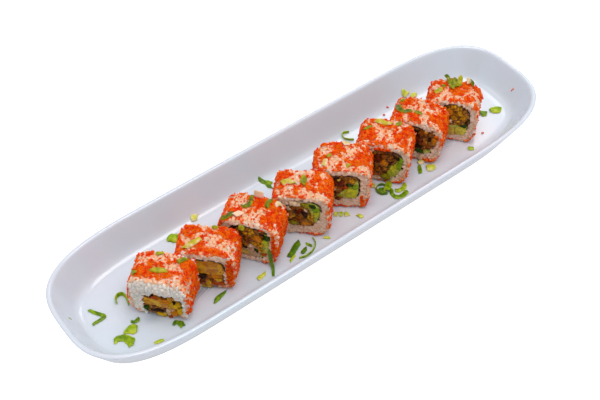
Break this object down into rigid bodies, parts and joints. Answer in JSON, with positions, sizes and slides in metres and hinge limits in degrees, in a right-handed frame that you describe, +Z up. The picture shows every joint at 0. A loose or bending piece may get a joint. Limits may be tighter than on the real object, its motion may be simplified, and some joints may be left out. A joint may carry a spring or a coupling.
{
  "type": "uramaki roll platter",
  "caption": "Cut uramaki rolls in roe-coated rice with fried prawn, omelette and avocado, set slantwise in a row on a long rimmed plate with scattered spring onion.",
  "frame": {"origin": "middle of the flat face under the plate, at the height of its foot", "axes": "+X along the plate's length, +Y away from the side that the cut faces look to, +Z up"},
  "size_m": [0.4, 0.109, 0.0537],
  "materials": {
    "glaze": "gloss",
    "rice": "moist",
    "nori": "satin",
    "tempura": "rough",
    "avocado": "satin",
    "omelette": "satin",
    "prawn": "satin",
    "onion": "satin",
    "roe": "gloss"
  },
  "bodies": {
    "root": {"avocado_3": "avocado", "avocado_4": "avocado", "avocado_5": "avocado", "avocado_6": "avocado", "avocado_7": "avocado", "avocado_8": "avocado", "crab_2": "prawn", "nori_1": "nori", "nori_2": "nori", "nori_3": "nori", "nori_4": "nori", "nori_5": "nori", "nori_6": "nori", "nori_7": "nori", "nori_8": "nori", "omelette_1": "omelette", "omelette_2": "omelette", "onion_arc_1": "onion", "onion_arc_2": "onion", "onion_curl_1": "onion", "onion_curl_2": "onion", "onion_fork_1": "onion", "onion_fork_2": "onion", "onion_hook": "onion", "onion_leaf_1": "onion", "onion_leaf_2": "onion", "onion_pale_1": "onion", "onion_pale_2": "onion", "onion_pale_3": "onion", "onion_piece_1": "onion", "onion_piece_2": "onion", "onion_piece_3": "onion", "onion_piece_4": "onion", "onion_piece_5": "onion", "onion_sliver_1": "onion", "onion_sliver_2": "onion", "onion_stick": "onion", "onion_strand_1": "onion", "onion_strand_2": "onion", "onion_strip_1": "onion", "plate": "glaze", "prawn_1": "prawn", "prawn_3": "prawn", "prawn_4": "prawn", "rice_1": "rice", "rice_2": "rice", "rice_3": "rice", "rice_4": "rice", "rice_5": "rice", "rice_6": "rice", "rice_7": "rice", "rice_8": "rice", "tempura_1": "tempura", "tempura_2": "tempura", "tempura_3": "tempura", "tempura_4": "tempura", "tempura_5": "tempura", "tempura_6": "tempura", "tempura_7": "tempura", "tempura_8": "tempura"}
  },
  "joints": []
}
